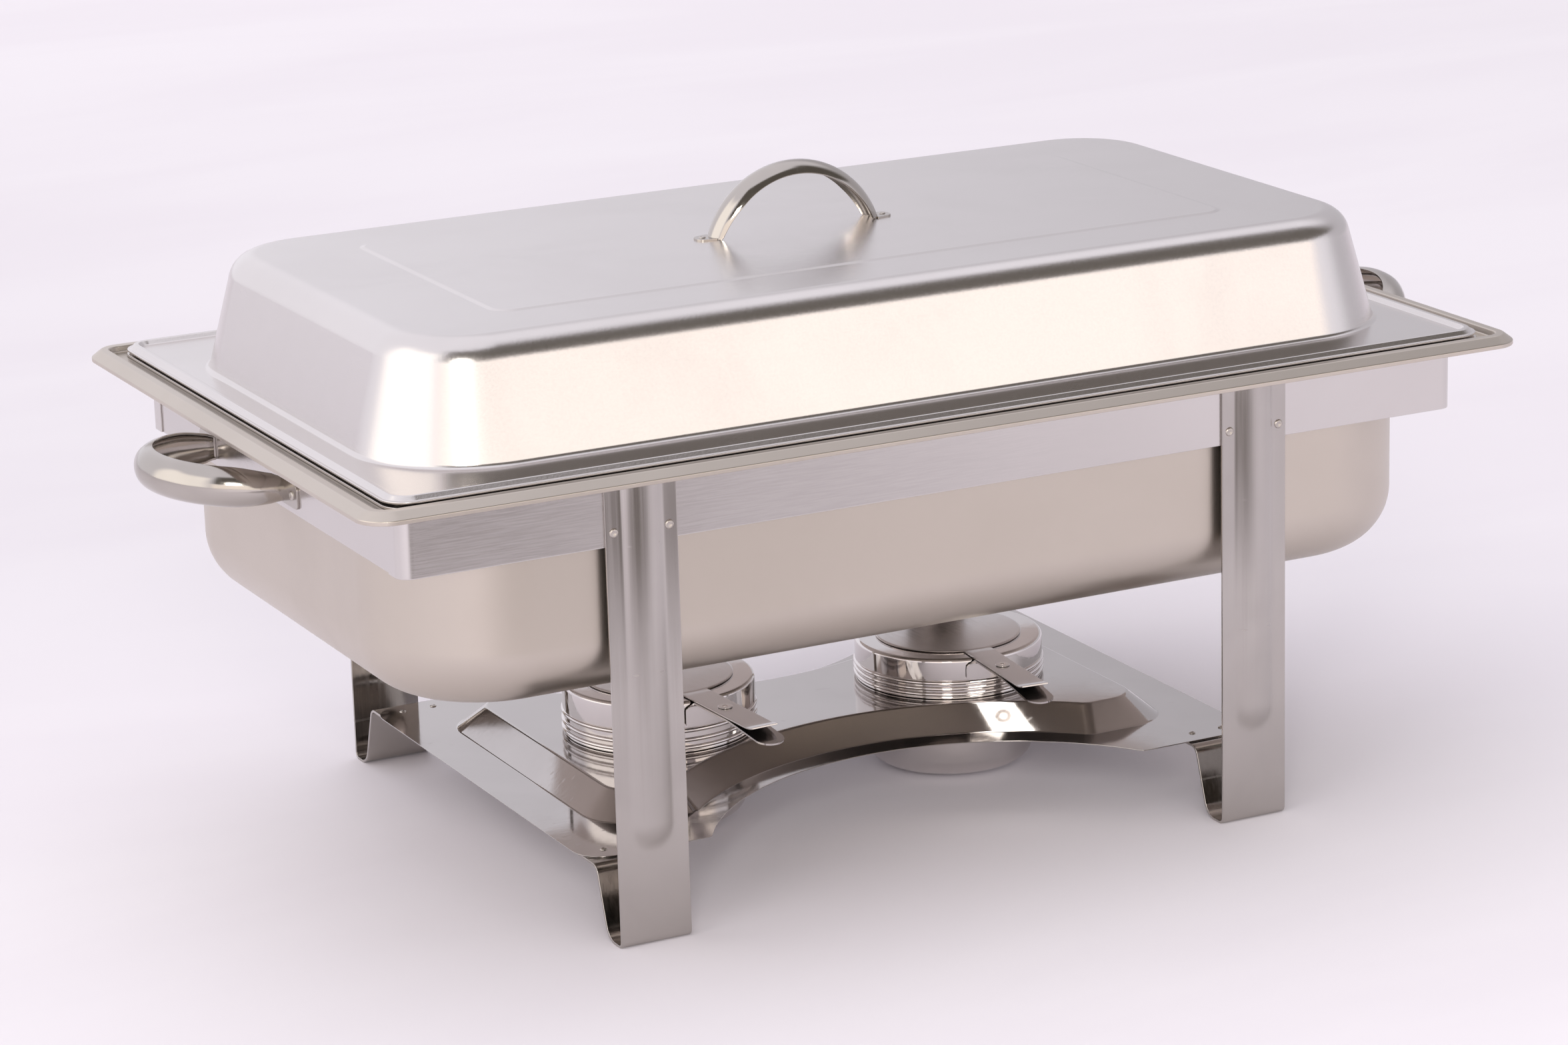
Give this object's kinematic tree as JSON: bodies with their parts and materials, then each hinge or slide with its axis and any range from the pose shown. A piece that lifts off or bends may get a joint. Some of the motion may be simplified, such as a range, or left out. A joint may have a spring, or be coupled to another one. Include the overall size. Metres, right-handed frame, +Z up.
{
  "type": "chafing dish food warmer",
  "caption": "Full-size chafing dish: folded steel frame with burner shelf, side handles and fuel burners with snuffers, water pan, food pan and domed lid that lift off.",
  "frame": {"origin": "centre of the footprint at table height, under the middle of the frame", "axes": "+X along the length towards the right end, +Y from front to back, +Z up; the front is the side that the snuffer tails point to"},
  "size_m": [0.6119, 0.3434, 0.296],
  "materials": {
    "band_steel": "fine satin",
    "leg_steel": "polished along its length",
    "shelf_steel": "near-mirror sheet",
    "rivet_steel": "dull",
    "handle_steel": "polished, a little uneven",
    "pan_steel": "satin",
    "lid_steel": "satin",
    "burner_steel": "mirror"
  },
  "bodies": {
    "frame": {"skirt_front": "band_steel", "skirt_back": "band_steel", "skirt_left": "band_steel", "skirt_right": "band_steel", "leg_front_left": "leg_steel", "leg_front_right": "leg_steel", "leg_back_left": "leg_steel", "leg_back_right": "leg_steel", "leg_rivets_front_left": "rivet_steel", "leg_rivets_front_right": "rivet_steel", "leg_rivets_back_left": "rivet_steel", "leg_rivets_back_right": "rivet_steel", "shelf": "shelf_steel", "shelf_rivets": "rivet_steel", "handle_left": "handle_steel", "handle_right": "handle_steel", "handle_rivets_left": "rivet_steel", "handle_rivets_right": "rivet_steel"},
    "water_pan": {"water_pan": "pan_steel"},
    "food_pan": {"food_pan": "pan_steel"},
    "lid": {"lid_shell": "lid_steel", "lid_handle": "handle_steel", "lid_handle_rivets": "rivet_steel"},
    "burner_left": {"fuel_cup_left": "burner_steel", "cover_left": "burner_steel", "grip_left": "burner_steel", "grip_rivets_left": "rivet_steel", "pivot_eyelet_left": "rivet_steel"},
    "burner_right": {"fuel_cup_right": "burner_steel", "cover_right": "burner_steel", "grip_right": "burner_steel", "grip_rivets_right": "rivet_steel", "pivot_eyelet_right": "rivet_steel"},
    "snuffer_left": {"snuffer_left": "burner_steel"},
    "snuffer_right": {"snuffer_right": "burner_steel"}
  },
  "joints": [
    {"name": "water_pan_lift", "type": "slide", "parent": "frame", "child": "water_pan", "axis": [0, 0, 1], "range_m": [0, 0.13]},
    {"name": "food_pan_lift", "type": "slide", "parent": "water_pan", "child": "food_pan", "axis": [0, 0, 1], "range_m": [0, 0.1]},
    {"name": "lid_lift", "type": "slide", "parent": "food_pan", "child": "lid", "axis": [0, 0, 1], "range_m": [0, 0.12]},
    {"name": "burner_left_lift", "type": "slide", "parent": "frame", "child": "burner_left", "axis": [0, 0, 1], "range_m": [0, 0.04]},
    {"name": "burner_right_lift", "type": "slide", "parent": "frame", "child": "burner_right", "axis": [0, 0, 1], "range_m": [0, 0.04]},
    {"name": "snuffer_left_swing", "type": "hinge", "parent": "burner_left", "child": "snuffer_left", "pos_m": [-0.07203, -0.06241, 0.0673], "axis": [0, 0, 1], "range_deg": [-25, 85]},
    {"name": "snuffer_right_swing", "type": "hinge", "parent": "burner_right", "child": "snuffer_right", "pos_m": [0.06953, -0.06223, 0.0627], "axis": [0, 0, -1], "range_deg": [-25, 85]}
  ]
}
